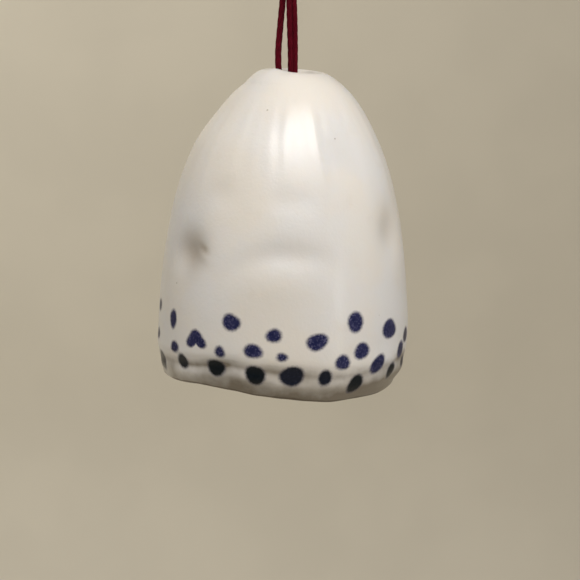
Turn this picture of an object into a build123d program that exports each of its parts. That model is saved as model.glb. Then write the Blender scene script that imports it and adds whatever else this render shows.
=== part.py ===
from build123d import *
import math
import os

# Small hand-pinched porcelain bell, hung on a folded length of yarn. Millimetres, +Z up.
# The origin is where a hook or twig carries the yarn eye: the inside of the eye's top.
# +X is the bell's right and -Y its front. The bell hangs at rest with its own slight lean.

# --- Bell shell -------------------------------------------------------------------------
bell_height = 57.0  # crown to rim, along the bell's own axis
bell_radius = 22.4  # widest outside radius
wall = 3.1  # side wall
crown_wall = 4.3  # clay is thicker where the hole goes through
seat_drop = 0.3  # the flat seat under the crown is this much below the inside's highest point
rim_band = 6.6  # height of the band that turns in above the rim
rim_inturn = 1.25  # how far that band turns in
rim_inturn_halfway = 0.3  # share of the turn already made halfway down the band
rim_round = 1.3  # radius of the rounded rim
lean = 2.2  # degrees; the crown leans to +X
axis_offset = 1.0  # bell axis to cord, at the crown
# Outside shape from the crown to the band: shares of the height above the band, and of the radius
outside_shape = [
    (0.019, 0.268),
    (0.085, 0.475),
    (0.2, 0.662),
    (0.37, 0.83),
    (0.585, 0.944),
    (0.8, 0.993),
]
crease_share = 0.998  # radius where the band starts, as a share of the widest radius
inside_shares = [0.8, 0.6, 0.4, 0.2]  # places up the outside that the inside is set in from

# --- Yarn ---------------------------------------------------------------------------------
yarn = 1.05  # one strand
yarn_press = 0.1  # two strands side by side flatten by this much
leg_gap = 0.1  # between the two legs where they enter the stopper knot

# --- Hole through the crown ---------------------------------------------------------------
throat_clearance = 0.9  # throat wall to the legs
flare_radius = 4.5
flare_depth = 2.2
flare_offset = 1.8  # the countersink sits off the throat's centre, towards +X
flare_taper = 38.0  # degrees
cut_margin = 1.0  # cuts start this far outside the clay
seat_rim = 0.5  # flat seat beyond the stopper knot, all round

# --- Knots --------------------------------------------------------------------------------
crown_drop = 62.0  # eye's top to crown
loop_knot_height = 19.6  # knot centre above the crown
loop_knot_offset = 0.36  # knot centre to the cord axis, towards +X
loop_knot_radius = 3.1
loop_knot_half = 2.8
stopper_lap = 1.25  # how much wider than the throat the stopper knot is, all round
stopper_half = 3.5
clapper_knot_lap = 0.95  # how much wider than the bead's hole the end knot is
clapper_knot_half = 2.0
knot_latitudes = [-80, -60, -40, -20, 0, 20, 40, 60, 80]  # degrees; a small flat closes each pole

# --- Clapper ------------------------------------------------------------------------------
bead_radius = 6.5
bead_above_rim = 12.0  # bead centre to rim
bead_hole_clearance = 0.6
neck_length = 2.2  # yarn that only twists, under the stopper knot
tail_length = 5.0
tail_spacing = 1.4  # between the two tails' centres, in strands
tail_splay = 14.0  # degrees, each
tail_forward = 0.3  # share of the splay that goes front to back
tail_root = 0.6  # where the tails leave the end knot, as a share of its half height

# --- Small gaps between soft pieces that move past each other -------------------------------
seat_gap = 0.25
leg_end_gap = 0.35
bend_gap = 0.6
turn_gap = 0.15

# --- Sizes and heights that follow ----------------------------------------------------------
cord = 2 * yarn - yarn_press
cord_radius = cord / 2
leg_reach = cord_radius + leg_gap / 2
throat_radius = leg_reach + cord_radius + throat_clearance
stopper_radius = throat_radius + stopper_lap
crown_z = -crown_drop
seat_z = crown_z - crown_wall - seat_drop
seat_radius = stopper_radius + seat_rim
dome_at_throat = stopper_half * math.sqrt(1 - (throat_radius / stopper_radius) ** 2)
stopper_z = seat_z - seat_gap - dome_at_throat
stopper_top = stopper_z + stopper_half
stopper_bottom = stopper_z - stopper_half
leg_end_z = stopper_top + leg_end_gap
swing_z = stopper_top + leg_end_gap / 2
neck_top = stopper_bottom - turn_gap
neck_bottom = neck_top - neck_length
bend_z = neck_bottom - bend_gap / 2
line_top = neck_bottom - bend_gap
bead_z = crown_z - bell_height + bead_above_rim
bead_hole = cord_radius + bead_hole_clearance
clapper_knot_radius = bead_hole + clapper_knot_lap
bead_seat = math.sqrt(bead_radius**2 - bead_hole**2)
knot_shoulder = clapper_knot_half * math.sqrt(1 - (bead_hole / clapper_knot_radius) ** 2)
clapper_knot_z = bead_z - bead_seat - turn_gap - knot_shoulder


def bend_radii(points):
    """For a cord of straight runs: at each point, the largest arc that its two runs allow."""
    runs = [Vector(*b) - Vector(*a) for a, b in zip(points, points[1:])]
    radii = []
    for before, after in zip(runs, runs[1:]):
        half_turn = math.radians(before.get_angle(after)) / 2
        radii.append(0.45 * min(before.length, after.length) / math.tan(half_turn))
    return radii


def knot_side(radius, half_height):
    """Points down one side of a knot's rounded outline, from its lower flat to its upper one."""
    angles = [math.radians(latitude) for latitude in knot_latitudes]
    return [(radius * math.cos(angle), half_height * math.sin(angle)) for angle in angles]


# === Bell shell: one thrown and pinched piece of porcelain ====================================
tilt = math.radians(lean)
bell_section = Plane(
    origin=(axis_offset, 0, crown_z),
    x_dir=(math.cos(tilt), 0, -math.sin(tilt)),
    z_dir=(0, -1, 0),
)
bell_axis = Axis(bell_section.origin, bell_section.y_dir)
crease_depth = bell_height - rim_band
crease_radius = crease_share * bell_radius
rim_level = -(bell_height - rim_round)
rim_outer = (crease_radius - rim_inturn, rim_level)
rim_bottom = (crease_radius - rim_inturn - rim_round, -bell_height)
rim_inner = (crease_radius - rim_inturn - 2 * rim_round, rim_level)
band_middle = (crease_radius - rim_inturn_halfway * rim_inturn, (rim_level - crease_depth) / 2)
outside_points = [(0, 0)]
outside_points += [(bell_radius * r, -crease_depth * d) for d, r in outside_shape]
outside_points += [(crease_radius, -crease_depth)]

with BuildPart() as bell_shell:
    with BuildSketch(bell_section):
        with BuildLine():
            outside = Spline(*outside_points)
            ThreePointArc(outside @ 1, band_middle, rim_outer)
            ThreePointArc(rim_outer, rim_bottom, rim_inner)
            inside_points = [rim_inner, (crease_radius - wall, -crease_depth)]
            for share in inside_shares:
                along = outside % share
                depth_of_clay = wall + (crown_wall - wall) * (1 - share) ** 3
                inside_points.append(outside @ share + Vector(along.Y, -along.X) * depth_of_clay)
            inside_points.append((0, -crown_wall))
            inside = Spline(*inside_points)
            Line(inside @ 1, outside @ 0)
        make_face()
    revolve(axis=bell_axis)
    # a round of clay under the crown, wiped flat, for the stopper knot to bear on
    with BuildSketch(Plane.XY.offset(seat_z)) as seat:
        Circle(seat_radius)
    extrude(amount=crown_wall / 2)
    extrude(seat.sketch, amount=-stopper_half, mode=Mode.SUBTRACT)
    # throat, straight down the cord
    with BuildSketch(Plane.XY.offset(crown_z + cut_margin)):
        Circle(throat_radius)
    extrude(amount=-(crown_wall + seat_drop + 2 * cut_margin), mode=Mode.SUBTRACT)
    # countersink on the crown
    with BuildSketch(Plane.XY.offset(crown_z)) as countersink:
        with Locations((flare_offset, 0)):
            Circle(flare_radius)
    extrude(amount=-flare_depth, taper=flare_taper, mode=Mode.SUBTRACT)
    extrude(countersink.sketch, amount=cut_margin, mode=Mode.SUBTRACT)
bell_shell.part.label = "bell_shell"

# === Hanging loop: doubled yarn, up from the stopper knot, through the eye and back down =======
loop_points = [
    (leg_reach, 0.0, leg_end_z),
    (1.3, -0.1, crown_z + 1.2),
    (1.1, -0.7, crown_z + 8.0),
    (0.8, -1.0, crown_z + 17.2),
    (0.75, -1.05, crown_z + 22.2),
    (1.68, -4.23, -1.0),
    (0.0, 0.0, 1.64),
    (-1.68, 4.23, -1.0),
    (-0.02, 1.05, crown_z + 22.2),
    (-0.06, 1.0, crown_z + 17.2),
    (-0.95, 0.7, crown_z + 8.0),
    (-1.6, 0.1, crown_z + 0.9),
    (-leg_reach, 0.0, leg_end_z),
]
loop_radii = bend_radii(loop_points)
with BuildPart() as hanging_loop:
    with BuildLine() as loop_route:
        FilletPolyline(*loop_points, radius=loop_radii)
    with BuildSketch(Plane(loop_route.line @ 0, z_dir=loop_route.line % 0)):
        Circle(cord_radius)
    sweep()
hanging_loop.part.label = "hanging_loop"

# === Loop knot: a tight overhand knot that closes the eye ======================================
loop_knot_middle = (loop_knot_offset, 0, crown_z + loop_knot_height)
with BuildPart() as loop_knot:
    with BuildSketch(Plane(origin=loop_knot_middle, x_dir=(1, 0, 0), z_dir=(0, -1, 0))):
        with BuildLine():
            side = Spline(*knot_side(loop_knot_radius, loop_knot_half))
            Polyline(side @ 1, (0, (side @ 1).Y), (0, (side @ 0).Y), side @ 0)
        make_face()
    revolve(axis=Axis(loop_knot_middle, (0, 0, 1)))
loop_knot.part.label = "loop_knot"

# === Stopper knot: too fat for the throat, it carries the bell =================================
with BuildPart() as stopper_knot:
    with BuildSketch(Plane(origin=(0, 0, stopper_z), x_dir=(1, 0, 0), z_dir=(0, -1, 0))):
        with BuildLine():
            side = Spline(*knot_side(stopper_radius, stopper_half))
            Polyline(side @ 1, (0, (side @ 1).Y), (0, (side @ 0).Y), side @ 0)
        make_face()
    revolve(axis=Axis.Z)
stopper_knot.part.label = "stopper_knot"

# === Clapper neck: the first bit of yarn under the stopper knot, which only twists ==============
with BuildPart() as clapper_neck:
    with BuildSketch(Plane.XY.offset(neck_bottom)):
        Circle(cord_radius)
    extrude(amount=neck_length)
clapper_neck.part.label = "clapper_neck"

# === Clapper line: doubled yarn, pulled straight by the bead ====================================
with BuildPart() as clapper_line:
    with BuildSketch(Plane.XY.offset(clapper_knot_z)):
        Circle(cord_radius)
    extrude(amount=line_top - clapper_knot_z)
clapper_line.part.label = "clapper_line"

# === Clapper bead: a porcelain ball, drilled to pass the doubled yarn ===========================
with BuildPart() as clapper_bead:
    with Locations((0, 0, bead_z)):
        Sphere(bead_radius)
        Hole(bead_hole)
clapper_bead.part.label = "clapper_bead"

# === Clapper knot: holds the bead up ============================================================
with BuildPart() as clapper_knot:
    with BuildSketch(Plane(origin=(0, 0, clapper_knot_z), x_dir=(1, 0, 0), z_dir=(0, -1, 0))):
        with BuildLine():
            side = Spline(*knot_side(clapper_knot_radius, clapper_knot_half))
            Polyline(side @ 1, (0, (side @ 1).Y), (0, (side @ 0).Y), side @ 0)
        make_face()
    revolve(axis=Axis.Z)
clapper_knot.part.label = "clapper_knot"

# === Clapper tails: the two cut ends of the yarn, below the end knot ============================
with BuildPart() as clapper_tails:
    for way in (-1, 1):
        splay = math.radians(way * tail_splay)
        down = (math.sin(splay), tail_forward * math.sin(splay), -math.cos(splay))
        root = (way * tail_spacing / 2 * yarn, 0, clapper_knot_z - tail_root * clapper_knot_half)
        with BuildSketch(Plane(root, z_dir=down)):
            Circle(yarn / 2)
        extrude(amount=tail_length)
clapper_tails.part.label = "clapper_tails"

os.makedirs("parts", exist_ok=True)
pieces = [
    bell_shell,
    hanging_loop,
    loop_knot,
    stopper_knot,
    clapper_neck,
    clapper_line,
    clapper_bead,
    clapper_knot,
    clapper_tails,
]
for piece in pieces:
    export_step(piece.part, f"parts/{piece.part.label}.step")

print("hanging loop bend radii", [round(radius, 1) for radius in loop_radii])
loop_length = loop_route.wire().length
loop_volume = math.pi * cord_radius**2 * loop_length
print("hanging loop length", round(loop_length, 2))
print("hanging loop volume", round(hanging_loop.part.volume, 2), "of", round(loop_volume, 2))
print("swing centre z", round(swing_z, 3), "bend z", round(bend_z, 3), "bead z", round(bead_z, 3))
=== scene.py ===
import math

import bpy
import numpy as np
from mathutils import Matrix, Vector


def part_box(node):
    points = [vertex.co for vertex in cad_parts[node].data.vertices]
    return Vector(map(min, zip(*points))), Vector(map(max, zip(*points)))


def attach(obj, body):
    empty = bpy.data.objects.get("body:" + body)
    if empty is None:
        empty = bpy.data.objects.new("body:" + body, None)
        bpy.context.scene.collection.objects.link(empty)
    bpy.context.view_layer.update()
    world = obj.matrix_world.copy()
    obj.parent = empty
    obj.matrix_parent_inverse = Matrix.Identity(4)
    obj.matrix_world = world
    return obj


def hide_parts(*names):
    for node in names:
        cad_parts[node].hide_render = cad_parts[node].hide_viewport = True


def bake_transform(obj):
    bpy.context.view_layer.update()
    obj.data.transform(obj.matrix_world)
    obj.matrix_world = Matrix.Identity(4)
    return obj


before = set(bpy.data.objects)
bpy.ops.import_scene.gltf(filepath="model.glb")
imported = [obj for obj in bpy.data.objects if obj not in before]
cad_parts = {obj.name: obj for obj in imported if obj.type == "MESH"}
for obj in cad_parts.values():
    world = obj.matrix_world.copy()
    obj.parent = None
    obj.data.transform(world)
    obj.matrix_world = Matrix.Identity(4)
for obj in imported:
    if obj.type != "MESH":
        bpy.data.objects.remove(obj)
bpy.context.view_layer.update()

# Small porcelain bell on a doubled yarn. Every length below is in millimetres, in the CAD frame:
# the origin is where a hook carries the yarn eye, +X is the bell's right and -Y its front.
MM = 0.001

# --- The same driving sizes as the CAD model ---
BELL_HEIGHT = 57.0
BELL_RADIUS = 22.4
WALL = 3.1
CROWN_WALL = 4.3
RIM_BAND = 6.6
RIM_INTURN = 1.25
RIM_ROUND = 1.3
LEAN = math.radians(2.2)
AXIS_OFFSET = 1.0
# shares of the crease's depth and of the bell's radius
OUTSIDE_SHAPE = [(0.019, 0.268), (0.085, 0.475), (0.2, 0.662)]
OUTSIDE_SHAPE += [(0.37, 0.83), (0.585, 0.944), (0.8, 0.993)]
CREASE_SHARE = 0.998
CROWN_Z = -62.0
THROAT_RADIUS = 2.95
FLARE_RADIUS = 4.5
FLARE_DEPTH = 2.2
FLARE_OFFSET = 1.8
YARN = 1.05


def node_middle_and_half(node):
    """Centre and half size of a CAD node, in millimetres."""
    low, high = (np.array(corner, float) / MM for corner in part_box(node))
    return (low + high) / 2, (high - low) / 2


# --- Small mesh helpers ---
def grid_mesh(name, rows, attributes=None):
    """A surface closed both ways round, from rows[ring, point, xyz] in millimetres."""
    here = np.arange(rows.shape[0] * rows.shape[1]).reshape(rows.shape[:2])
    faces = between_rings(here, np.roll(here, -1, 0))
    return mesh_object(name, rows.reshape(-1, 3), faces, attributes)


def between_rings(here, above):
    """Four-sided faces between rings of point numbers, each ring closed."""
    return np.stack([here, np.roll(here, -1, 1), np.roll(above, -1, 1), above], -1).reshape(-1, 4)


def mesh_object(name, points, faces, attributes=None):
    """A smooth mesh from points in millimetres, with a number for each point in each attribute."""
    mesh = bpy.data.meshes.new(name)
    faces = [list(map(int, face)) for face in faces]
    mesh.from_pydata((np.asarray(points) * MM).tolist(), [], faces)
    for key, values in (attributes or {}).items():
        layer = mesh.attributes.new(key, "FLOAT", "POINT")
        layer.data.foreach_set("value", np.asarray(values, np.float32).ravel())
    mesh.polygons.foreach_set("use_smooth", [True] * len(mesh.polygons))
    mesh.update()
    piece = bpy.data.objects.new(name, mesh)
    bpy.context.scene.collection.objects.link(piece)
    return piece


def smooth_curve(points, samples):
    """A centripetal Catmull-Rom curve through 2-D points."""
    points = np.array(points, float)
    points = np.vstack([2 * points[0] - points[1], points, 2 * points[-1] - points[-2]])
    out = []
    for a, b, c, d in zip(points, points[1:], points[2:], points[3:]):
        t1 = np.linalg.norm(b - a) ** 0.5
        t2 = t1 + np.linalg.norm(c - b) ** 0.5
        t3 = t2 + np.linalg.norm(d - c) ** 0.5
        t = np.linspace(t1, t2, samples, endpoint=False)[:, None]
        ab = a * (t1 - t) / t1 + b * t / t1
        bc = b * (t2 - t) / (t2 - t1) + c * (t - t1) / (t2 - t1)
        cd = c * (t3 - t) / (t3 - t2) + d * (t - t2) / (t3 - t2)
        abc = ab * (t2 - t) / t2 + bc * t / t2
        bcd = bc * (t3 - t) / (t3 - t1) + cd * (t - t1) / (t3 - t1)
        out.append(abc * (t2 - t) / (t2 - t1) + bcd * (t - t1) / (t2 - t1))
    return np.vstack(out + [points[-2][None]])


def respace(points, count):
    """The same line with evenly spaced points."""
    steps = np.linalg.norm(np.diff(points, axis=0), axis=1)
    along = np.concatenate([[0], np.cumsum(steps)])
    want = np.linspace(0, along[-1], count)
    return np.stack([np.interp(want, along, points[:, k]) for k in range(points.shape[1])], 1)


def round_the_bell(azimuth, marks):
    """A smooth line through (degrees, value) marks that closes on itself."""
    places = np.radians([mark[0] for mark in marks])
    values = np.array([mark[1] for mark in marks], float)
    azimuth = (azimuth - places[0]) % (2 * math.pi) + places[0]
    places = np.append(places, places[0] + 2 * math.pi)
    here = np.clip(np.searchsorted(places, azimuth, side="right") - 1, 0, len(values) - 1)
    share = (azimuth - places[here]) / (places[here + 1] - places[here])
    share = share * share * (3 - 2 * share) * 0.5 + share * 0.5
    return values[here] * (1 - share) + values[(here + 1) % len(values)] * share


def smooth_step(x, low, high):
    """0 up to low, 1 from high on, and an easy slope between."""
    t = np.clip((x - low) / (high - low), 0, 1)
    return t * t * (3 - 2 * t)


# --- Camera ---
CAMERA_DISTANCE = 550.0
CAMERA_ELEVATION = math.radians(8.2)
FRAME_WIDTH = 104.4  # what the picture spans at the bell
SENSOR_WIDTH = 36.0
AIM = (0.7, 0.0, CROWN_Z - 40.2)


def make_camera():
    camera = bpy.data.objects.new("camera", bpy.data.cameras.new("camera"))
    bpy.context.scene.collection.objects.link(camera)
    back = Vector((0, -math.cos(CAMERA_ELEVATION), math.sin(CAMERA_ELEVATION)))
    camera.location = (Vector(AIM) + back * CAMERA_DISTANCE) * MM
    camera.rotation_euler = back.to_track_quat("Z", "Y").to_euler()
    camera.data.sensor_width = SENSOR_WIDTH
    camera.data.lens = SENSOR_WIDTH * CAMERA_DISTANCE / FRAME_WIDTH
    camera.data.clip_start = 0.01
    bpy.context.scene.camera = camera


make_camera()


# --- Yarn: routes, strands and knots ---
def route_line(name, points, spacing):
    """Evenly spaced points of the smooth NURBS line that the cord's route gives."""
    curve = bpy.data.curves.new(name, "CURVE")
    curve.dimensions = "3D"
    curve.resolution_u = 24
    spline = curve.splines.new("NURBS")
    spline.points.add(len(points) - 1)
    for target, point in zip(spline.points, points):
        target.co = (*(Vector(point) * MM), 1)
    spline.order_u = 3
    spline.use_endpoint_u = True
    holder = bpy.data.objects.new(name, curve)
    bpy.context.scene.collection.objects.link(holder)
    line_mesh = bpy.data.meshes.new_from_object(holder)
    line = np.array([v.co for v in line_mesh.vertices], float) / MM
    bpy.data.objects.remove(holder)
    bpy.data.curves.remove(curve)
    bpy.data.meshes.remove(line_mesh)
    length = np.linalg.norm(np.diff(line, axis=0), axis=1).sum()
    return respace(line, max(8, int(length / spacing)))


def moving_frames(line, closed=False):
    """Two directions square to the line at each point, turning as little as they can."""
    if closed:
        tangents = np.roll(line, -1, 0) - np.roll(line, 1, 0)
    else:
        tangents = np.gradient(line, axis=0)
    tangents /= np.linalg.norm(tangents, axis=1)[:, None]
    first = np.cross(tangents[0], (0.31, 0.2, 0.93))
    if np.linalg.norm(first) < 0.4:
        first = np.cross(tangents[0], (1.0, 0.1, 0.0))
    sides = [first / np.linalg.norm(first)]
    for tangent in tangents[1:]:
        side = sides[-1] - tangent * sides[-1].dot(tangent)
        sides.append(side / np.linalg.norm(side))
    sides = np.array(sides)
    return tangents, sides, np.cross(tangents, sides)


def turned(sides, ups, angle):
    """The direction at an angle from sides towards ups, at each point."""
    angle = np.broadcast_to(angle, len(sides))[:, None]
    return sides * np.cos(angle) + ups * np.sin(angle)


def along_line(line):
    """Millimetres from the line's start to each of its points."""
    steps = np.linalg.norm(np.diff(line, axis=0), axis=1)
    return np.concatenate([[0], np.cumsum(steps)])


class Strands:
    """Collects round plies into one mesh, with each ply's own distance along and angle around."""

    AROUND = 9

    def __init__(self):
        self.points, self.faces, self.along, self.angle, self.tint = [], [], [], [], []
        self.count = 0

    def ply(self, line, radius, closed=False, tint=0.0, taper=0):
        """Adds a round ply. taper is how many of its points the ends round off over."""
        _, sides, ups = moving_frames(line, closed)
        rings = len(line)
        swell = np.ones(rings)
        if taper:
            ends = np.minimum(np.arange(rings), np.arange(rings)[::-1]) / taper
            swell = np.sqrt(np.clip(1 - (1 - np.clip(ends, 0, 1)) ** 2, 0.02, 1))
        angle = np.linspace(0, 2 * math.pi, self.AROUND, endpoint=False)
        cosine, sine = np.cos(angle)[None, :, None], np.sin(angle)[None, :, None]
        ring = sides[:, None] * cosine + ups[:, None] * sine
        rows = line[:, None] + ring * (radius * swell)[:, None, None]
        index = np.arange(rings * self.AROUND).reshape(rings, self.AROUND) + self.count
        last = rings if closed else rings - 1
        self.faces += between_rings(index[:last], np.roll(index, -1, 0)[:last]).tolist()
        if not closed:
            self.faces += [index[0][::-1].tolist(), index[-1].tolist()]
        self.points.append(rows.reshape(-1, 3))
        self.along.append(np.repeat(along_line(line), self.AROUND))
        self.angle.append(np.tile(angle, rings))
        self.tint.append(np.full(rings * self.AROUND, tint))
        self.count += rings * self.AROUND

    def piece(self, name):
        parts = {"ply_along": self.along, "ply_angle": self.angle, "ply_tint": self.tint}
        fields = {key: np.concatenate(values) for key, values in parts.items()}
        return mesh_object(name, np.vstack(self.points), self.faces, fields)


PLIES = 5
PLY_RADIUS = 0.25
PLY_OFFSET = 0.275
TWIST_LENGTH = 9.0  # one full turn of the plies in a yarn
YARN_GAP = 0.88  # between the middles of two yarns side by side
OTHER_YARN = 10.0  # added to the ply's number, so that a pair's yarns are coloured apart


def add_yarn(strands, line, start_turn, closed=False, taper=0, tint=0.0):
    """One yarn: its plies, twisted about its line."""
    tangents, sides, ups = moving_frames(line, closed)
    along = along_line(line)
    turns = along / TWIST_LENGTH
    if closed:
        # a whole number of turns, less what the frames miss by when they come round
        full = along[-1] + np.linalg.norm(line[0] - line[-1])
        across = np.cross(tangents[0], sides[0])
        miss = math.atan2(np.dot(sides[-1], across), np.dot(sides[-1], sides[0]))
        turns = along / full * (round(full / TWIST_LENGTH) - miss / (2 * math.pi))
    for number in range(PLIES):
        out = turned(sides, ups, 2 * math.pi * (turns + number / PLIES + start_turn))
        strands.ply(line + out * PLY_OFFSET, PLY_RADIUS, closed, tint + number, taper)


def add_pair(strands, line, roll, seed, wander=0.06):
    """Two yarns side by side. roll is the direction, at each point, from one to the other."""
    _, sides, ups = moving_frames(line)
    out = turned(sides, ups, roll)
    along = along_line(line)
    for number, sign in enumerate((-1, 1)):
        sway = wander * np.sin(along / 2.9 + 1.7 * number + seed) * np.sin(along / 7.3 + seed)
        yarn_line = line + out * (sign * YARN_GAP / 2 + sway)[:, None]
        add_yarn(strands, yarn_line, 0.37 * number + 0.21 * seed, tint=OTHER_YARN * number)


def roll_of(direction, side, up):
    """The angle from side towards up that a direction lies at."""
    return math.atan2(np.dot(direction, up), np.dot(direction, side))


def roll_towards(line, start_direction, end_direction):
    """The roll that lays a pair of yarns along one direction at the start, another at the end."""
    _, sides, ups = moving_frames(line)
    first = roll_of(start_direction, sides[0], ups[0])
    last = roll_of(end_direction, sides[-1], ups[-1])
    last += round((first - last) / math.pi) * math.pi  # half a turn lays the pair the same way
    share = smooth_step(np.linspace(0, 1, len(line)), 0.18, 0.82)
    return first + (last - first) * share


KNOT_STEP = 0.28  # between a winding's points
KNOT_SWING = 0.36  # how far they go in and out, as a share of the room outside one yarn
KNOT_SWAY = 0.05  # how unevenly they lie
KNOT_CLEARANCE = 0.12  # inside the CAD knot's outline, for the plies' twist
PAIR_RISE = 0.55  # how much higher one yarn of a pair lies than the other
PAIR_LEAD = 0.62  # how much sooner it rises, in radians
KNOT_CORE = 0.72  # how much of the knot is filled behind its windings


def add_knot(strands, middle, radius, half_height, windings, waves, seed):
    """A tight knot: pairs of yarn that wind about the cord and cross over and under."""
    swing = KNOT_SWING * (radius - YARN)
    mean = radius - YARN / 2 - swing - KNOT_SWAY
    room = YARN / 2 + KNOT_CLEARANCE
    count = int(2 * math.pi * mean * windings / KNOT_STEP)
    t = np.linspace(0, 2 * math.pi, count, endpoint=False)
    spin = windings * t + 0.4 * seed
    for number, side in enumerate((-0.5, 0.5)):
        rise = waves * t + side * PAIR_LEAD
        reach = mean + swing * np.cos(waves * t) + KNOT_SWAY * np.sin(5 * t + seed)
        height = (half_height - 0.55 * YARN) * np.sin(rise) + side * PAIR_RISE
        # pulled in to the knot's room: the CAD model's ellipsoid, less half a yarn
        past = np.hypot(reach / (radius - room), height / (half_height - room))
        pull = (1 + past**8) ** (1 / 8)
        reach, height = reach / pull, height / pull
        line = np.stack([reach * np.cos(spin), reach * np.sin(spin), height], 1) + middle
        add_yarn(strands, line, 0.3 * number, closed=True, tint=OTHER_YARN * number)


def add_core(strands, middle, radius, half_height):
    """The yarn inside a knot, one spiral that fills it behind the crossing strands."""
    turns = 5
    t = np.linspace(0, 1, 40)
    spin = 2 * math.pi * turns * t
    polar = math.pi * (0.08 + 0.84 * t)
    reach, height = (radius - PLY_RADIUS) * np.sin(polar), half_height * np.cos(polar)
    line = np.stack([reach * np.cos(spin), reach * np.sin(spin), height], 1)
    strands.ply(respace(line, 160) + middle, YARN / 2, taper=3)


def make_knot(name, node, body, windings, waves, seed):
    middle, half = node_middle_and_half(node)
    strands = Strands()
    add_knot(strands, middle, half[0], half[2], windings, waves, seed)
    add_core(strands, middle, half[0] * KNOT_CORE, half[2] * KNOT_CORE)
    knot = strands.piece(name)
    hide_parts(node)
    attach(knot, body)
    return knot


# the route of the hanging loop in the CAD model, from one end in the stopper knot to the other
LOOP_POINTS = [
    (1.05, 0.0, -65.49),
    (1.3, -0.1, -60.8),
    (1.1, -0.7, -54.0),
    (0.8, -1.0, -44.8),
    (0.75, -1.05, -39.8),
    (1.39, -3.28, -13.0),
    (1.68, -4.23, -1.0),
    (0.0, 0.0, 1.64),
    (-1.68, 4.23, -1.0),
    (-1.2, 3.38, -13.0),
    (-0.02, 1.05, -39.8),
    (-0.06, 1.0, -44.8),
    (-0.95, 0.7, -54.0),
    (-1.6, 0.1, -61.1),
    (-1.05, 0.0, -65.49),
]
YARN_STEP = 0.3


def make_hanging_loop():
    line = route_line("loop_route", LOOP_POINTS, YARN_STEP)
    roll = roll_towards(line, (1, 0.1, 0), (0.15, 1, 0))
    strands = Strands()
    add_pair(strands, line, roll, seed=1)
    loop = strands.piece("hanging_yarn")
    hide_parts("hanging_loop")
    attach(loop, "hanger")
    return loop, line


# --- Clapper: yarn, bead and tails ---
def make_clapper_line():
    neck_middle, neck_half = node_middle_and_half("clapper_neck")
    line_middle, line_half = node_middle_and_half("clapper_line")
    top = neck_middle[2] + neck_half[2] + 0.6  # its ends are hidden in the knots
    bottom = node_middle_and_half("clapper_knot")[0][2]
    bend = (neck_middle[2] - neck_half[2] + line_middle[2] + line_half[2]) / 2
    bow = 0.18  # the yarn keeps a trace of its old curl
    route = [
        (0, 0, top),
        (0.3 * bow, 0.2 * bow, bend),
        (bow, 0.5 * bow, (2 * bend + bottom) / 3),
        (bow, -0.3 * bow, (bend + 2 * bottom) / 3),
        (0, 0, bottom),
    ]
    line = route_line("clapper_route", route, YARN_STEP)
    roll = roll_towards(line, (1, 0, 0), (0, 1, 0))
    strands = Strands()
    add_pair(strands, line, roll, wander=0.03, seed=2)
    piece = strands.piece("clapper_yarn")
    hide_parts("clapper_neck", "clapper_line")
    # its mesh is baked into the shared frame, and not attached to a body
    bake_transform(piece)
    return piece, line


TAIL_STEP = 0.2


def make_tails():
    """The yarn's two cut ends, splayed from the end knot to the corners of the CAD tails' box."""
    middle, half = node_middle_and_half("clapper_tails")
    strands = Strands()
    for number, side in enumerate((-1, 1)):
        top = Vector((side * 0.6, side * 0.1, middle[2] + half[2] - 0.3))
        tip = Vector((side * (half[0] - 0.5), side * (half[1] - 0.5), middle[2] - half[2] + 0.25))
        knee = top.lerp(tip, 0.5) + Vector((side * 0.25, 0.1, -0.1))
        line = route_line("tail_route", [top, knee, tip], TAIL_STEP)
        add_yarn(strands, line, 0.2 * number, taper=3, tint=OTHER_YARN * number)
    piece = strands.piece("clapper_yarn_tails")
    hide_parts("clapper_tails")
    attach(piece, "clapper")
    return piece


BEAD_BORE = 1.6  # radius of the hole through it
BEAD_LIP = 0.45  # radius of the hole's rounded edges
BEAD_ROWS, BEAD_AROUND = 72, 128


def bead_profile(radius):
    """Radius and height round the bead's section: outside, lower lip, bore, upper lip."""
    start = math.asin((BEAD_BORE + BEAD_LIP) / radius)
    polar = np.linspace(start, math.pi - start, BEAD_ROWS)
    outside = np.stack([radius * np.sin(polar), radius * np.cos(polar)], 1)
    seat = radius * math.cos(start)
    turn = np.linspace(0, math.pi / 2, 7)[1:]
    lip_radius = BEAD_BORE + BEAD_LIP - BEAD_LIP * np.sin(turn)
    lip = np.stack([lip_radius, seat - BEAD_LIP * (1 - np.cos(turn))], 1)
    bore = np.stack([np.full(9, BEAD_BORE), np.linspace(seat - BEAD_LIP, BEAD_LIP - seat, 9)], 1)
    return np.vstack([outside, lip * (1, -1), bore[-2:0:-1], lip[::-1]])


def make_bead():
    middle, half = node_middle_and_half("clapper_bead")
    profile = bead_profile(half[0])
    spin = np.linspace(0, 2 * math.pi, BEAD_AROUND, endpoint=False)
    radius, height = profile[:, :1], profile[:, 1:]
    rows = np.stack([radius * np.cos(spin), radius * np.sin(spin), height + 0 * spin], -1)
    # rolled by hand: a little out of round, but not at the hole
    away = rows / np.linalg.norm(rows, axis=-1)[..., None]
    lumps = 0.05 * np.sin(3 * away[..., 0] + 1.0) * np.sin(2.6 * away[..., 2] + 0.5) - 0.05
    lip_edge = BEAD_BORE + BEAD_LIP
    solid = smooth_step(np.linalg.norm(rows[..., :2], axis=-1), lip_edge, lip_edge + 2 * BEAD_LIP)
    rows = rows + away * (lumps * solid)[..., None]
    bead = grid_mesh("porcelain_bead", rows + middle)
    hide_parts("clapper_bead")
    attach(bead, "bead")
    return bead


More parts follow.
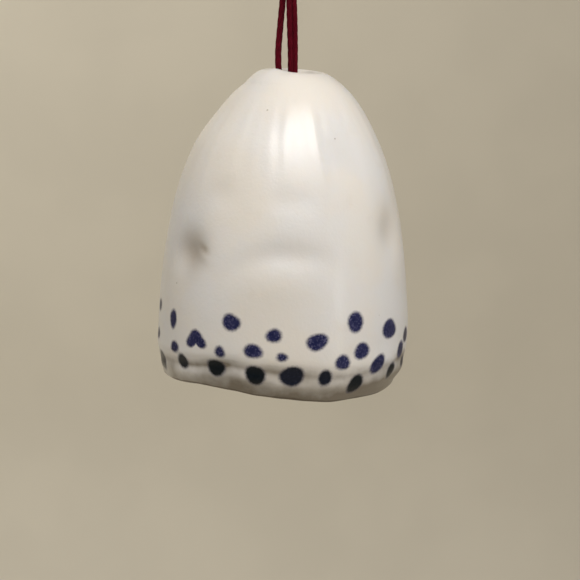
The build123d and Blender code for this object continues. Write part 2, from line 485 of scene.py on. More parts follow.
# --- Bell shell ---
# The wall is rings of AROUND points. Azimuth is in radians from the front towards the right, and
# depth is millimetres below the crown along the bell's own leaning axis.
AROUND = 440
AZIMUTH = np.linspace(-math.pi, math.pi, AROUND, endpoint=False)
DIR_X, DIR_Y = np.sin(AZIMUTH), -np.cos(AZIMUTH)
CREASE_DEPTH = BELL_HEIGHT - RIM_BAND
CREASE_RADIUS = CREASE_SHARE * BELL_RADIUS
SEAT_DROP = 0.3  # the stopper knot's seat lies this far under the crown's own clay
CEILING_DEPTH = CROWN_WALL + SEAT_DROP
CEILING_EDGE = 0.4  # how rounded the throat's lower edge is
BODY_ROWS, CROWN_ROWS = 112, 15
CROWN_EDGE = 8.6  # radius where the crown's own rings end and the wall's begin
CEILING_RADIUS = 7.0  # and the same inside
RISE_START = 44  # depth below which the wall follows the rim's rise and fall


def outside_profile():
    """Radius and depth below the crown, from the crown's middle to where the band turns in."""
    points = [(0, 0)]
    points += [(BELL_RADIUS * r, CREASE_DEPTH * d) for d, r in OUTSIDE_SHAPE]
    points += [(CREASE_RADIUS, CREASE_DEPTH)]
    return smooth_curve(points, 60)


# down the band: shares of its in-turn and of its height
BAND_SHAPE = [(0, 0), (0.18, 0.33), (0.5, 0.7), (1, 1)]


def band_and_rim_profile():
    """The in-turned band and the rounded rim, down to the inside of the rim."""
    rim_radius = CREASE_RADIUS - RIM_INTURN
    rim_depth = BELL_HEIGHT - RIM_ROUND
    tall = rim_depth - CREASE_DEPTH
    points = [(CREASE_RADIUS - r * RIM_INTURN, CREASE_DEPTH + d * tall) for r, d in BAND_SHAPE]
    band = smooth_curve(points, 12)
    turn = np.linspace(0.15, math.pi, 13)
    rim_x = rim_radius - RIM_ROUND + RIM_ROUND * np.cos(turn)
    rim = np.stack([rim_x, rim_depth + RIM_ROUND * np.sin(turn)], 1)
    return respace(band, 17)[1:], rim[1:]


def inside_profile(outside):
    """The inner face, from the ceiling down: set in by the wall, thicker towards the crown."""
    tangents = np.gradient(outside, axis=0)
    tangents /= np.linalg.norm(tangents, axis=1)[:, None]
    share = np.linspace(0, 1, len(outside))
    clay = WALL + (CROWN_WALL - WALL) * (1 - share) ** 3
    inset = outside + np.stack([-tangents[:, 1], tangents[:, 0]], 1) * clay[:, None]
    inset = inset[(inset[:, 0] > CEILING_RADIUS) & (inset[:, 1] < CREASE_DEPTH - 0.5)]
    rim_inner = (CREASE_RADIUS - RIM_INTURN - 2 * RIM_ROUND, BELL_HEIGHT - RIM_ROUND)
    behind_band = (CREASE_RADIUS - WALL - 0.12, CREASE_DEPTH + 1.6)
    neck = smooth_curve([rim_inner, behind_band, inset[-1]], 8)
    return respace(np.vstack([neck[:-1], inset[::-1]]), 46)[:0:-1]


def to_frame(x, y, depth):
    """From the bell's own leaning axes to the shared frame."""
    sine, cosine = math.sin(LEAN), math.cos(LEAN)
    right = AXIS_OFFSET + x * cosine - depth * sine
    return np.stack([right, y + 0 * x, CROWN_Z - x * sine - depth * cosine], -1)


WALL_ARC = 21.3  # one radian along the wall, near where the presses are

# Each press of a finger: its middle (along the wall from the front, and depth), its reach both
# ways, how deep (below 0 it stands out), its tilt in degrees, and how far it follows the arch
PRESSES = [
    ((-18.6, 32.0), (3.7, 3.4), 1.15, 0, 0),  # left thumb pinch
    ((-15.5, 31.3), (1.5, 0.6), 0.20, 24, 0),  # its sharp fold, running to the right
    ((-14.7, 32.6), (1.5, 1.0), -0.16, 20, 0),
    ((23.2, 28.0), (3.8, 4.2), 0.75, 0, 0),  # right finger dent, seen at the outline
    ((0.2, 31.0), (7.4, 2.4), 0.46, 0, 1),  # long shallow press across the front, arched
    ((-1.0, 36.6), (7.0, 3.6), -0.26, 0, 0.5),  # the swell below it
    ((-13.5, 21.5), (3.5, 2.5), 0.30, 0, 0),  # faint presses higher up
    ((1.0, 22.0), (4.5, 2.2), 0.20, 0, 0),
    ((33.5, 46.5), (10.0, 5.5), -0.5, 0, 0),  # a swell above the rim, right and behind
    ((12.5, 14.5), (3.2, 3.0), 0.36, 0, 0),  # beside the highlight
    ((7.2, 15.0), (1.1, 5.0), -0.09, -8, 0),
]
# round the back: along the wall, depth, how deep
BACK_PRESSES = [(40, 33, 0.7), (56, 25, 0.5), (-40, 30, 0.7), (-58, 36, 0.5), (64, 40, 0.4)]
PRESSES += [((x, depth), (4.4, 3.2), deep, x / 3, 0) for x, depth, deep in BACK_PRESSES]

# and painted shade in and around the presses, in the same form: how deep is how dark
HOLLOW_SHADES = [
    ((-19.1, 31.5), (4.2, 2.9), 0.97, 14, 0),
    ((-15.5, 31.3), (1.6, 0.6), 0.6, 24, 0),
    ((-18.0, 35.0), (2.8, 2.8), 0.38, 0, 0),
    ((23.6, 27.0), (3.0, 3.4), 0.35, 0, 0),
    ((0.5, 30.6), (7.4, 1.7), 0.15, 0, 1),
    ((13.8, 15.5), (3.4, 3.0), 0.10, 0, 0),
    ((-16.5, 23.0), (3.0, 2.4), 0.12, 0, 0),
]


def add_presses(azimuth, depth, presses):
    """What a table of presses comes to at each place."""
    around = azimuth * WALL_ARC
    arch = np.where(around < 0, 0.035, 0.010) * around**2
    total = 0
    for middle, size, deep, tilt, arched in presses:
        a, d = around - middle[0], depth - arched * arch - middle[1]
        c, s = math.cos(math.radians(tilt)), math.sin(math.radians(tilt))
        along, across = (a * c + d * s) / size[0], (d * c - a * s) / size[1]
        total = total + deep * np.exp(-(along**2 + across**2))
    return total


# Each: (degrees from the front towards the right, value)
FOLD_WAVE = [(-180, 0.0), (-120, 0.3), (-70, 1.0), (-47, 1.3), (-24, -0.1), (-5, 0.0)]
FOLD_WAVE += [(14, 0.3), (36, 0.3), (57, -0.7), (75, -1.2), (120, -0.3)]
FOLD_STRENGTH = [(-180, 0.2), (-110, 0.15), (-62, 0.3), (-48, 0.4), (-28, 0.55), (-12, 0.35)]
FOLD_STRENGTH += [(8, 0.4), (25, 0.2), (50, 0.18), (75, 0.3), (110, 0.12)]
RIM_RISE = [(-180, 0.2), (-140, 0.2), (-105, 0.5), (-71, 0.95), (-46, 1.45), (-24, 1.2)]
RIM_RISE += [(-10, 0.65), (2, 0.25), (14, -0.05), (28, -0.3), (43, -0.1), (58, 0.05)]
RIM_RISE += [(75, 0.35), (110, 0.4), (150, 0.3)]
EXTRA_INTURN = [(-150, 0.3), (-90, 0.0), (-60, 0.15), (-20, 0.6), (20, 0.9), (60, 0.85)]
EXTRA_INTURN += [(90, 0.6), (150, 0.5)]


def fold_depth(azimuth):
    """Where the soft fold above the band runs."""
    return CREASE_DEPTH + 1.7 + round_the_bell(azimuth, FOLD_WAVE)


def rim_rise(azimuth):
    """How much the hand-cut rim rises and falls."""
    return round_the_bell(azimuth, RIM_RISE) + 0.05 * np.sin(9 * azimuth + 1)


def crown_ridges(azimuth, depth):
    """Narrow upright ridges down the crown, strongest in front, that break up its highlight."""
    here = smooth_step(depth, 3.5, 9) * (1 - smooth_step(depth, 14, 27))
    faced = 0.35 + 0.65 * np.exp(-(((azimuth - 0.15) / 0.55) ** 2))
    ridges = np.cos(21 * azimuth - 0.2 + 0.5 * np.sin(2.1 * azimuth + depth / 7))
    ridges += 0.4 * np.cos(12 * azimuth + 0.6 + 0.5 * np.sin(depth / 5))
    ridges += 0.55 * np.cos(35 * azimuth + 0.9 + 0.8 * np.sin(depth / 4))
    return 0.050 * here * faced * ridges


def uneven_wall(azimuth, depth):
    """Slow lobes: the wall isn't quite round."""
    here = smooth_step(depth, 3, 14) * (1 - smooth_step(depth, 47, 52))
    lobes = 0.10 * np.cos(5 * azimuth + 0.8 + depth / 17)
    lobes += 0.08 * np.sin(3 * azimuth - 0.4 + depth / 11) * np.cos(depth / 5.5)
    lobes += 0.22 * np.cos(2 * azimuth + 0.9)
    return here * lobes


def left_shoulder(azimuth, depth):
    """The crown's left shoulder is pressed in under its top."""
    left = 0.5 - 0.5 * np.sin(azimuth)
    return -0.80 * left**2 * smooth_step(depth, 0.5, 2.6) * (1 - smooth_step(depth, 6, 15))


def fold_and_band(azimuth, depth):
    """The fold sinks in slowly from above and steps out below, and the band under it is uneven."""
    fold = fold_depth(azimuth)
    deep = round_the_bell(azimuth, FOLD_STRENGTH) + 0.03 * np.sin(11 * azimuth)
    sink = smooth_step(depth, fold - 3.0, fold - 0.1)
    sink = sink * (1 - smooth_step(depth, fold - 0.1, fold + 2.4))
    uneven = 0.10 * np.sin(11 * azimuth + depth / 1.3)
    uneven += 0.08 * np.sin(7 * azimuth - depth / 1.1 + 2)
    return uneven * smooth_step(depth, fold, fold + 1.5) - deep * sink


def relief(azimuth, depth):
    """What the maker's fingers left: millimetres outwards from the plain form."""
    out = crown_ridges(azimuth, depth) + uneven_wall(azimuth, depth)
    out = out - add_presses(azimuth, depth, PRESSES)
    return out + left_shoulder(azimuth, depth) + fold_and_band(azimuth, depth)


def hole_outline():
    """Radius, from the cord, of the hole's mouth on top of the crown."""
    from_right = AZIMUTH - math.pi / 2
    flare = FLARE_OFFSET * np.cos(from_right)
    flare = flare + np.sqrt(FLARE_RADIUS**2 - (FLARE_OFFSET * np.sin(from_right)) ** 2)
    return np.maximum(flare, THROAT_RADIUS + 0.25)


def wall_rings(down, body_rows):
    """The outside, from the crown's edge round under the rim, and each point's depth."""
    rise = smooth_step(down[:, 1], RISE_START, BELL_HEIGHT)[:, None]
    depth = down[:, 1:] - rise * rim_rise(AZIMUTH)
    turned_in = smooth_step(down[:, 1], CREASE_DEPTH - 0.5, BELL_HEIGHT)[:, None] ** 1.5
    reach = down[:, :1] - turned_in * round_the_bell(AZIMUTH, EXTRA_INTURN)
    rows = to_frame(reach * DIR_X, reach * DIR_Y, depth)
    # the relief stands out square to the profile, and fades on the band
    fade = 1 - smooth_step(np.arange(len(down)), body_rows + 8, len(down) - 10)
    out = relief(AZIMUTH, down[:, 1:]) * fade[:, None]
    square = np.gradient(down[:, 1])[:, None], -np.gradient(down[:, 0])[:, None]
    away, deeper = square / np.hypot(*square)
    direction = to_frame(away * DIR_X, away * DIR_Y, deeper + 0 * DIR_X) - to_frame(*np.zeros(3))
    return rows + out[..., None] * direction, depth


def crown_rings(mouth, edge, outside):
    """From the hole's mouth out to edge, the first ring of the wall."""
    mouth_x, mouth_y = mouth * DIR_X, mouth * DIR_Y
    steepness = np.hypot(1, np.gradient(outside[:, 1], outside[:, 0]))
    rows = []
    for share in np.linspace(0, 1, CROWN_ROWS + 1)[:-1] ** 1.15:
        x = mouth_x * (1 - share) + edge[:, 0] * share
        y = mouth_y * (1 - share) + edge[:, 1] * share
        depth = np.zeros(AROUND)
        for _ in range(4):  # the axis leans, so x and depth are settled together
            bell_x = (x - AXIS_OFFSET + depth * math.sin(LEAN)) / math.cos(LEAN)
            radius = np.hypot(bell_x, y)
            plain = np.interp(radius, outside[:, 0], outside[:, 1])
            depth = plain - relief(AZIMUTH, plain) * np.interp(radius, outside[:, 0], steepness)
        z = CROWN_Z - bell_x * math.sin(LEAN) - depth * math.cos(LEAN)
        from_mouth = np.hypot(x - mouth_x, y - mouth_y)
        z -= 0.20 * np.exp(-from_mouth / 0.45)  # its edge is rounded over
        # clay pushed up beside the yarn
        z += 0.35 * np.exp(-(((x + 1.7) / 1.9) ** 2) - ((y + 3.2) / 1.6) ** 2)
        rows.append(np.stack([x, y, z], -1))
    return np.array(rows)


def hole_rings(mouth, mouth_z):
    """Down from the mouth: flare, throat, and the throat's rounded lower edge."""
    rings = []
    for share in np.linspace(0, 1, 9)[1:]:
        radius = THROAT_RADIUS + (mouth - THROAT_RADIUS) * (1 - math.sin(share * math.pi / 2))
        z = mouth_z * (1 - share) + (CROWN_Z - FLARE_DEPTH) * share - 0.5 * share * (1 - share)
        rings.append((radius, z))
    throat_length = CEILING_DEPTH - FLARE_DEPTH - CEILING_EDGE
    for share in np.linspace(0, 1, 5)[1:]:
        rings.append((THROAT_RADIUS, CROWN_Z - FLARE_DEPTH - throat_length * share))
    for share in (0.5, 1.0):
        z = CROWN_Z - CEILING_DEPTH + CEILING_EDGE * (1 - share)
        rings.append((THROAT_RADIUS + 0.35 * share**2, z))
    return np.array([np.stack([r * DIR_X, r * DIR_Y, z + 0 * DIR_X], -1) for r, z in rings])


def inner_rings(inner):
    """The inside wall, from the ceiling down, with half of the outside's relief."""
    rows = to_frame(inner[:, :1] * DIR_X, inner[:, :1] * DIR_Y, inner[:, 1:] + 0 * DIR_X)
    soft = 0.5 * smooth_step(inner[:, 1], 8, 20) * (1 - smooth_step(inner[:, 1], RISE_START, 53))
    bumps = soft[:, None] * relief(AZIMUTH, inner[:, 1:])
    rows[..., 0] += bumps * DIR_X
    rows[..., 1] += bumps * DIR_Y
    rows[..., 2] += smooth_step(inner[:, 1], RISE_START, BELL_HEIGHT)[:, None] * rim_rise(AZIMUTH)
    return rows


def ceiling_rings(edge, wall):
    """Between the throat's lower edge and the first ring of the inner wall."""
    rows = []
    for share in np.linspace(0, 1, 9)[1:-1]:
        row = edge * (1 - share) + wall * share
        row[:, 2] = edge[:, 2] * (1 - share**3) + wall[:, 2] * share**3
        rows.append(row)
    return np.array(rows)


def thin_glaze_and_shade_on_wall(depth):
    """How dark the glaze is made: a little darker from the fold and more down the band, partly as
    thin glaze showing the clay and partly as painted shade.
    """
    below_fold = depth - fold_depth(AZIMUTH)
    thin_and_shaded = 0.40 * smooth_step(below_fold, -0.9, 0.4) + 0.75 * smooth_step(below_fold, 0.8, 4.6)
    # painted shade: the band is made darker still on the right
    on_right = smooth_step(AZIMUTH, 0.1, 0.65) * (1 - smooth_step(AZIMUTH, 1.6, 2.4))
    # painted shade in the valley just above the fold
    valley_width = np.where(below_fold < -0.3, 0.95, 0.5)
    valley_shade = np.exp(-(((below_fold + 0.3) / valley_width) ** 2))
    valley_shade = valley_shade * round_the_bell(AZIMUTH, FOLD_STRENGTH)
    broken = 0.75 + 0.25 * np.sin(14 * AZIMUTH + 0.4) * np.sin(5 * AZIMUTH)
    return np.clip(thin_and_shaded * (1 + 0.50 * on_right) + 2.6 * valley_shade * broken, 0, 1.4)


def make_bell():
    outside = outside_profile()
    band, rim = band_and_rim_profile()
    body = respace(outside[outside[:, 0] > CROWN_EDGE], BODY_ROWS)
    down = np.vstack([body, band, rim])
    inner = inside_profile(outside)
    mouth = hole_outline()
    wall, depth = wall_rings(down, len(body))
    crown = crown_rings(mouth, wall[0], outside)
    hole = hole_rings(mouth, crown[0][:, 2])
    inside = inner_rings(inner)
    ceiling = ceiling_rings(hole[-1], inside[0])
    rows = np.concatenate([crown, wall, inside[::-1], ceiling[::-1], hole[::-1]])

    wall_start, wall_end = len(crown), len(crown) + len(wall)
    inside_end = wall_end + len(inside)
    painted = np.full(rows.shape[:2], -1.0)  # depth where there may be dots, and -1 elsewhere
    painted[wall_start:wall_end] = depth
    edge_distance, tone = dot_fields(painted)
    # the fold and band are darkened partly as thin glaze and partly as painted shade; inside, the
    # wall is darkest just above the rim and a little darker higher up, on the ceiling and in the
    # hole
    thin_and_shaded = np.zeros(painted.shape)
    thin_and_shaded[wall_start:wall_end] = thin_glaze_and_shade_on_wall(down[:, 1:])
    thin_and_shaded[wall_end:inside_end] = 1 - 0.75 * smooth_step(BELL_HEIGHT - inner[::-1, 1:], 1, 6)
    thin_and_shaded[inside_end:] = 0.25
    # bare clay under the rim, coloured darker partly as painted shade, most in the middle of its
    # rows and none three rows past them
    bare_and_shaded = np.zeros(painted.shape)
    rim_start = wall_end - len(rim)
    middle = (rim_start + wall_end) / 2 + 0.5
    near_rim = np.arange(rim_start - 3, wall_end + 3)
    bare_and_shaded[near_rim] = (1 - np.abs(near_rim - middle) / (wall_end - middle + 3))[:, None]
    fields = {"dot_edge": edge_distance, "dot_tone": tone, "bare_and_shaded_rim": bare_and_shaded, "thin_glaze_and_shade": thin_and_shaded}
    # painted shade in the presses
    fields["hollow_shade"] = np.clip(add_presses(AZIMUTH, painted, HOLLOW_SHADES), 0, 1)
    bell = grid_mesh("porcelain_bell", rows, fields)
    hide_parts("bell_shell")
    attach(bell, "bell")
    return bell


# --- Painted dots ---
# Each: azimuth in degrees from the front towards the right, height above the rim, width, height,
# tilt, the direction that it comes to a point in (0 is right, 90 up), how pointed, and how dark
# (1 is black; the lowest row, on the in-turned band, is near black partly as painted shade)
FRONT_DOTS = [
    (-79, 13.9, 3.0, 2.3, 0, 90, 0.1, 0.45),
    (-81, 8.7, 3.0, 2.2, 0, 90, 0.1, 0.45),
    (-75.3, 4.1, 3.9, 3.8, 30, 120, 0.2, 0.75),
    (-59, 12.5, 2.7, 3.3, -8, 80, 0.15, 0.35),
    (-57.2, 7.7, 3.0, 2.1, 0, 90, 0.0, 0.4),
    (-52.3, 5.3, 3.1, 2.8, 0, 95, 0.12, 0.8),
    (-41.7, 9.65, 4.5, 3.5, 2, 90, 0.1, 0.2),
    (-23.3, 13.7, 3.3, 3.2, 0, 15, 0.14, 0.15),
    (-28.4, 8.3, 2.2, 2.15, 15, 90, 0.0, 0.25),
    (-31.4, 5.2, 4.0, 3.1, -10, 150, 0.05, 1.0),
    (-12.6, 9.0, 3.4, 2.7, -14, 0, 0.06, 0.1),
    (-3.5, 11.9, 2.8, 2.65, 10, 45, 0.05, 0.15),
    (-11.6, 4.7, 3.8, 3.6, 0, 90, 0.0, 1.0),
    (0.5, 8.2, 2.2, 1.6, 5, 0, 0.05, 0.3),
    (5.4, 4.8, 4.7, 3.6, 0, 275, 0.1, 0.72),
    (15.9, 10.95, 3.8, 3.2, 8, 10, 0.12, 0.1),
    (21.0, 4.45, 2.5, 3.2, 0, 60, 0.12, 0.75),
    (28.9, 7.2, 3.1, 2.85, 20, 50, 0.05, 0.15),
    (35.0, 14.1, 3.7, 3.4, 0, 92, 0.2, 0.15),
    (39.3, 9.0, 3.8, 3.0, 0, 90, 0.04, 0.15),
    (38.2, 3.1, 3.8, 3.2, 40, 90, 0.0, 1.0),
    (50.8, 6.4, 4.2, 3.1, 33, 215, 0.18, 0.4),
    (59, 12.1, 5.1, 3.3, 0, 80, 0.2, 0.2),
    (72.8, 7.8, 3.7, 3.0, 25, 90, 0.05, 0.35),
    (63.4, 4.5, 3.2, 2.9, 20, 90, 0.0, 0.85),
    (80, 10.1, 3.4, 2.9, 0, 90, 0.1, 0.5),
    (80, 5.3, 2.8, 2.3, 0, 90, 0.0, 0.7),
]
HEART_DOT = 6  # this one has a notch below: two brush marks that touch
# Each row of dots on the back: height above the rim, degrees between dots, first dot, how dark
# the lowest row is darkest, partly as painted shade, as on the front
BACK_ROWS = [(12.9, 21, 96, 0.2), (8.4, 18, 102, 0.25), (4.4, 19, 95, 0.9)]
BACK_ENDS = 268  # degrees, where the front's dots begin again
FAR = 9.0  # millimetres to a dot's edge, where there is none near


def back_dots():
    """The band goes on round the back in the same three uneven rows."""
    chance = np.random.default_rng(7)
    dots = []
    for height, spacing, place, dark in BACK_ROWS:
        while place < BACK_ENDS:
            dot = [place + chance.uniform(-3, 3), height + chance.uniform(-0.9, 0.9)]
            dot += [chance.uniform(2.5, 3.9), chance.uniform(2.3, 3.4)]
            dot += [chance.uniform(-30, 30), chance.uniform(0, 180)]
            dot += [chance.choice([0.0, 0.05, 0.12, 0.2])]
            dot += [min(1.0, dark + chance.uniform(-0.1, 0.15))]
            dots.append(dot)
            place += spacing + chance.uniform(-2.5, 2.5)
    return dots


def dot_fields(depth):
    """Millimetres to the nearest dot's edge, below 0 inside it, and that dot's darkness."""
    nearest = np.full(depth.shape, FAR)
    tone = np.zeros(depth.shape)
    reach = np.where(depth > CREASE_DEPTH, BELL_RADIUS - 0.6, BELL_RADIUS)
    for number, dot in enumerate(FRONT_DOTS + back_dots()):
        place, height, wide, tall, tilt, point_to, pointed, dark = dot
        a = ((AZIMUTH - math.radians(place) + math.pi) % (2 * math.pi) - math.pi) * reach
        b = (BELL_HEIGHT - height) - depth
        c, s = math.cos(math.radians(tilt)), math.sin(math.radians(tilt))
        u, v = (a * c + b * s) / (wide / 2), (b * c - a * s) / (tall / 2)
        heading = np.arctan2(v, u)
        outline = 1 + pointed * np.clip(np.cos(heading - math.radians(point_to)), 0, 1) ** 5
        outline += 0.05 * np.sin(2 * heading + 1.3 * number)
        outline += 0.035 * np.sin(3 * heading + 2.1 * number)
        if number == HEART_DOT:
            outline += 0.17 * np.cos(3 * (heading - math.radians(91)))
            outline -= 0.50 * np.clip(np.cos(heading + math.radians(88)), 0, 1) ** 8
        distance = (np.hypot(u, v) - outline) * (wide + tall) / 4
        distance = np.where(depth > 0, distance, FAR)
        closer = distance < nearest
        nearest = np.where(closer, distance, nearest)
        tone = np.where(closer, dark, tone)
    return np.clip(nearest, -3, FAR), tone


# --- Materials ---
class Nodes:
    """Short names for building a material's node tree."""

    def __init__(self, name):
        self.material = bpy.data.materials.new(name)
        self.material.use_nodes = True
        self.tree = self.material.node_tree
        self.shader = self.tree.nodes["Principled BSDF"]
        self.place = self.new("ShaderNodeTexCoord", {}).outputs["Object"]

    def feed(self, target, value):
        """Sets an input to a plain value, or links a node's output to it."""
        if isinstance(value, (int, float, tuple)):
            target.default_value = value
        else:
            self.tree.links.new(value, target)

    def new(self, kind, inputs, **settings):
        """A node with its settings made, then its inputs fed."""
        node = self.tree.nodes.new(kind)
        for key, value in settings.items():
            setattr(node, key, value)
        for key, value in inputs.items():
            self.feed(node.inputs[key], value)
        return node

    def finish_with(self, **values):
        """Feeds the shader's inputs, by their names with _ for a space."""
        for key, value in values.items():
            self.feed(self.shader.inputs[key.replace("_", " ")], value)
        return self.material

    def attribute(self, name):
        return self.new("ShaderNodeAttribute", {}, attribute_name=name).outputs["Fac"]

    def noise_at(self, place, scale, detail, roughness):
        inputs = {"Vector": place, "Scale": scale, "Detail": detail, "Roughness": roughness}
        return self.new("ShaderNodeTexNoise", inputs).outputs["Fac"]

    def noise(self, size_mm, detail=2.0, roughness=0.5, offset=0.0):
        """Noise in the piece's own space, with lumps of about a size."""
        place = self.place
        if offset:
            inputs = {0: place, 1: (offset, offset, offset)}
            place = self.new("ShaderNodeVectorMath", inputs, operation="ADD").outputs["Vector"]
        return self.noise_at(place, 1.0 / (size_mm * MM), detail, roughness)

    def math(self, operation, a, b=0.0, clamp=False):
        node = self.new("ShaderNodeMath", {0: a, 1: b}, operation=operation, use_clamp=clamp)
        return node.outputs["Value"]

    def ramp(self, value, low, high, to_low=0.0, to_high=1.0):
        """Eases from to_low to to_high as the value goes from low to high."""
        inputs = {"Value": value, "From Min": low, "From Max": high}
        inputs.update({"To Min": to_low, "To Max": to_high})
        node = self.new("ShaderNodeMapRange", inputs, interpolation_type="SMOOTHSTEP")
        return node.outputs["Result"]

    def mix(self, share, a, b):
        """Colour a where share is 0, and b where it is 1."""
        inputs = {"Factor": share, 6: a, 7: b}
        return self.new("ShaderNodeMix", inputs, data_type="RGBA").outputs[2]

    def bump(self, height, distance_mm, strength, below=None):
        inputs = {"Height": height, "Distance": distance_mm * MM, "Strength": strength}
        if below:
            inputs["Normal"] = below
        return self.new("ShaderNodeBump", inputs).outputs["Normal"]


GLAZE_WARM = (0.800, 0.755, 0.690, 1)
GLAZE_COOL = (0.775, 0.760, 0.745, 1)
GLAZE_CLOUD = (0.70, 0.64, 0.55, 1)
PINHOLE = (0.28, 0.22, 0.16, 1)
HOLLOW_SHADE = (0.33, 0.265, 0.19, 1)
COBALT = (0.013, 0.016, 0.066, 1)
COBALT_THIN = (0.045, 0.045, 0.120, 1)
COBALT_BLACK = (0.004, 0.0075, 0.011, 1)
COBALT_SPECK = (0.22, 0.21, 0.34, 1)
# unglazed clay under the rim, made this dark partly as painted shade
BARE_CLAY_SHADED = (0.135, 0.102, 0.072, 1)
# the colour of thin glaze over clay, also laid on the fold and band as painted shade
THIN_GLAZE_AND_SHADE = (0.235, 0.198, 0.150, 1)


def thin_glaze_and_painted_shade(n, colour, cloud):
    """Darkens where the glaze is thin, partly the clay showing through and partly painted shade on
    the fold and band, and paints shade into the presses.
    """
    thin_and_shaded = n.attribute("thin_glaze_and_shade")
    patchy = n.math("ADD", thin_and_shaded, n.math("MULTIPLY", n.math("SUBTRACT", cloud, 0.5), 1.5))
    patchy = n.math("MULTIPLY", patchy, n.ramp(thin_and_shaded, 0.0, 0.2))
    colour = n.mix(n.math("MULTIPLY", patchy, 0.85, clamp=True), colour, THIN_GLAZE_AND_SHADE)
    # painted shade in the presses
    return n.mix(n.math("MULTIPLY", n.attribute("hollow_shade"), 0.62), colour, HOLLOW_SHADE)


def brushed_dots(n):
    """The dots' pigment, blue to black with ragged edges and speckles, and where it lies."""
    edge, tone = n.attribute("dot_edge"), n.attribute("dot_tone")
    ragged = n.math("SUBTRACT", n.noise(0.42, detail=3, roughness=0.65), 0.5)
    edge = n.math("ADD", edge, n.math("MULTIPLY", ragged, 0.45))
    speckle = n.ramp(n.noise(0.36, detail=1, offset=0.13), 0.53, 0.66)
    speckle = n.math("MULTIPLY", speckle, n.ramp(tone, 0.2, 0.85, 0.9, 0.05))
    speckle = n.math("MULTIPLY", speckle, n.ramp(edge, -1.1, -0.2, 0.35, 1.0))
    patchy = n.ramp(n.noise(1.1, detail=2, offset=0.55), 0.3, 0.7, 0.0, 0.45)
    pigment = n.mix(patchy, COBALT, COBALT_THIN)
    pigment = n.mix(n.ramp(tone, 0.25, 0.9), pigment, COBALT_BLACK)
    pigment = n.mix(n.ramp(edge, -0.35, 0.1, 0, 0.8), pigment, COBALT_THIN)
    pigment = n.mix(n.math("MULTIPLY", speckle, 0.55), pigment, COBALT_SPECK)
    return pigment, n.ramp(edge, -0.48, 0.36, 1, 0)


def porcelain(name, painted):
    """Hand-glazed porcelain: soft colour drift, pinholes, a slight orange peel and satin gloss."""
    n = Nodes(name)
    colour = n.mix(n.ramp(n.noise(17, detail=3), 0.35, 0.65), GLAZE_WARM, GLAZE_COOL)
    cloud = n.noise(4.5, detail=4, offset=0.31)
    colour = n.mix(n.ramp(cloud, 0.56, 0.8, 0, 0.22), colour, GLAZE_CLOUD)
    pin = n.new("ShaderNodeTexVoronoi", {"Vector": n.place, "Scale": 1 / (6.5 * MM)})
    pinhole = n.ramp(pin.outputs["Distance"], 0.018, 0.034, 1, 0)
    colour = n.mix(n.math("MULTIPLY", pinhole, 0.55), colour, PINHOLE)
    normal = n.bump(n.noise(1.3, detail=2), 0.05, 0.55)
    normal = n.bump(n.noise(0.5, detail=2), 0.05, 0.5, below=normal)
    normal = n.bump(n.math("SUBTRACT", 1.0, pinhole), 0.05, 0.5, below=normal)
    gloss = n.ramp(n.noise(6, detail=3, offset=0.7), 0.3, 0.7, 0.29, 0.38)
    inner_glow, coat, mirror = 0.12, 0.5, 0.5
    if painted:
        colour = thin_glaze_and_painted_shade(n, colour, cloud)
        pigment, paint = brushed_dots(n)
        colour = n.mix(paint, colour, pigment)
        uneven = n.math("MULTIPLY", n.math("SUBTRACT", cloud, 0.5), 0.35)
        # bare clay under the rim, darkened partly as painted shade
        unglazed_and_shaded = n.ramp(n.math("ADD", n.attribute("bare_and_shaded_rim"), uneven), 0.30, 0.48)
        colour = n.mix(unglazed_and_shaded, colour, BARE_CLAY_SHADED)
        gloss = n.math("ADD", gloss, n.math("MULTIPLY", unglazed_and_shaded, 0.4))
        # pigment is matter than the glaze round it
        inner_glow = n.math("MULTIPLY", n.math("SUBTRACT", 1.0, paint), inner_glow)
        coat = n.ramp(paint, 0, 1, coat, 0.12)
        mirror = n.ramp(paint, 0, 1, mirror, 0.22)
    return n.finish_with(
        Base_Color=colour,
        Roughness=gloss,
        Normal=normal,
        IOR=1.5,
        Coat_Weight=coat,
        Coat_Roughness=0.24,
        Specular_IOR_Level=mirror,
        Subsurface_Weight=inner_glow,
        Subsurface_Radius=(1.0, 0.75, 0.5),
        Subsurface_Scale=1.6 * MM,
    )


YARN_DEEP = (0.050, 0.0010, 0.0045, 1)
YARN_LIT = (0.170, 0.0040, 0.016, 1)


def yarn_material():
    """Dark red spun yarn: fibres run along each ply, with a little sheen and fuzz."""
    n = Nodes("dark_red_yarn")
    along, angle, tint = (n.attribute("ply_" + key) for key in ("along", "angle", "tint"))
    slant = n.math("ADD", angle, n.math("MULTIPLY", along, 1.1))
    length = n.math("ADD", n.math("MULTIPLY", along, 0.18), n.math("MULTIPLY", tint, 3.7))
    inputs = {"X": n.math("COSINE", slant), "Y": n.math("SINE", slant), "Z": length}
    place = n.new("ShaderNodeCombineXYZ", inputs).outputs["Vector"]
    fibres = n.noise_at(place, 3.2, 4.0, 0.7)
    uneven = n.ramp(n.noise(2.2, detail=3), 0.2, 0.8, 0.55, 1.0)
    share = n.math("MULTIPLY", n.ramp(fibres, 0.36, 0.7), uneven)
    normal = n.bump(fibres, 0.07, 0.8)
    normal = n.bump(n.noise(0.12, detail=2), 0.02, 0.5, below=normal)
    return n.finish_with(
        Base_Color=n.mix(share, YARN_DEEP, YARN_LIT),
        Roughness=n.ramp(fibres, 0.3, 0.7, 0.72, 0.9),
        Normal=normal,
        Sheen_Weight=0.14,
        Sheen_Roughness=0.4,
        Sheen_Tint=(0.75, 0.2, 0.28, 1),
        Specular_IOR_Level=0.08,
    )


def paint(piece, material):
    piece.data.materials.clear()
    piece.data.materials.append(material)


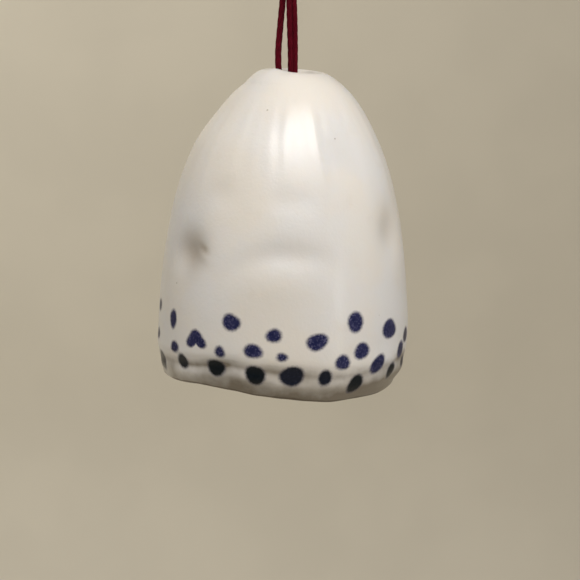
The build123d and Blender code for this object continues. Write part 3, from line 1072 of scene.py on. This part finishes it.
# --- Build the pieces ---
loop, loop_line = make_hanging_loop()
loop_knot = make_knot("loop_overhand_knot", "loop_knot", "hanger", 2, 3, seed=1)
stopper = make_knot("stopper_yarn_knot", "stopper_knot", "stopper", 3, 4, seed=2)
clapper_yarn, clapper_route = make_clapper_line()
clapper_knot = make_knot("clapper_end_knot", "clapper_knot", "clapper", 2, 3, seed=3)
tails = make_tails()
bead = make_bead()
bell = make_bell()

yarn = yarn_material()
for piece in (loop, loop_knot, stopper, clapper_yarn, clapper_knot, tails):
    paint(piece, yarn)
paint(bell, porcelain("painted_porcelain", painted=True))
paint(bead, porcelain("plain_porcelain", painted=False))


# --- Floor, backdrop and lights ---
FLOOR_Z = -600.0
WALL_Y = 1300.0
SHEET_BEND = 260.0  # radius of the curve from floor to wall
SHEET_FRONT, SHEET_TOP, SHEET_HALF_WIDTH = -2600.0, 2200.0, 3000.0
SHEET_COLOUR = (0.62, 0.57, 0.47, 1)
SHEET_MOTTLING = 0.96  # how light its darker patches are, as a share of the rest


def backdrop_material():
    n = Nodes("pale_backdrop")
    darker = tuple(SHEET_MOTTLING * part for part in SHEET_COLOUR[:3]) + (1,)
    mottled = n.mix(n.ramp(n.noise(60, detail=2), 0.3, 0.7), SHEET_COLOUR, darker)
    return n.finish_with(Base_Color=mottled, Roughness=0.9, Specular_IOR_Level=0.2)


def make_stage():
    """One pale sheet: floor, a wide curve and the wall behind."""
    bend_y, bend_z = WALL_Y - SHEET_BEND, FLOOR_Z + SHEET_BEND
    outline = [(SHEET_FRONT, FLOOR_Z)]
    for turn in np.linspace(0, math.pi / 2, 17):
        outline.append((bend_y + SHEET_BEND * math.sin(turn), bend_z - SHEET_BEND * math.cos(turn)))
    outline.append((WALL_Y, SHEET_TOP))
    points, faces = [], []
    for number, (y, z) in enumerate(outline):
        points += [(-SHEET_HALF_WIDTH, y, z), (SHEET_HALF_WIDTH, y, z)]
        if number:
            faces.append((2 * number - 2, 2 * number - 1, 2 * number + 1, 2 * number))
    sheet = mesh_object("backdrop", points, faces)
    paint(sheet, backdrop_material())


LIT_POINT = (0, 0, CROWN_Z - 28)  # the middle of the bell


def make_light(name, azimuth, elevation, distance, size, power, colour, face=None, mirrored=False):
    """A soft square light, set out from LIT_POINT, that looks back at it or at face.

    Azimuth is in degrees from the front, to the right. Only mirrored lights show as highlights in
    the glaze: the others stand for the pale room.
    """
    data = bpy.data.lights.new(name, "AREA")
    data.shape = "RECTANGLE"
    data.size, data.size_y = size[0] * MM, size[1] * MM
    data.energy = power
    data.color = colour
    light = bpy.data.objects.new(name, data)
    light.visible_glossy = mirrored
    bpy.context.scene.collection.objects.link(light)
    a, e = math.radians(azimuth), math.radians(elevation)
    away = Vector((math.sin(a) * math.cos(e), -math.cos(a) * math.cos(e), math.sin(e)))
    light.location = (Vector(LIT_POINT) + away * distance) * MM
    if face:
        away = light.location - Vector(face) * MM
    light.rotation_euler = away.to_track_quat("Z", "Y").to_euler()


def make_world():
    world = bpy.data.worlds.new("soft_room")
    bpy.context.scene.world = world
    world.use_nodes = True
    background = world.node_tree.nodes["Background"]
    background.inputs["Color"].default_value = (1.0, 0.97, 0.93, 1)
    background.inputs["Strength"].default_value = 0.30
    world.cycles_visibility.glossy = False


make_stage()
make_world()
make_light("key", 15, 50, 460, (330, 225), 1.42, (1.0, 0.965, 0.92), mirrored=True)
make_light("right_window", 53, -5, 620, (60, 190), 0.14, (0.95, 0.97, 1.0), mirrored=True)
make_light("right_fill", 78, 14, 700, (420, 420), 1.15, (0.98, 0.97, 0.96))
make_light("left_fill", -70, 24, 700, (360, 420), 1.00, (1.0, 0.96, 0.88))
make_light("top_fill", 0, 80, 700, (500, 500), 0.55, (1.0, 0.97, 0.94))
make_light("wall_wash", -149, 32, 940, (500, 300), 4.9, (1.0, 0.98, 0.93), (-260, WALL_Y, -300))
bpy.context.scene.view_settings.view_transform = "Standard"
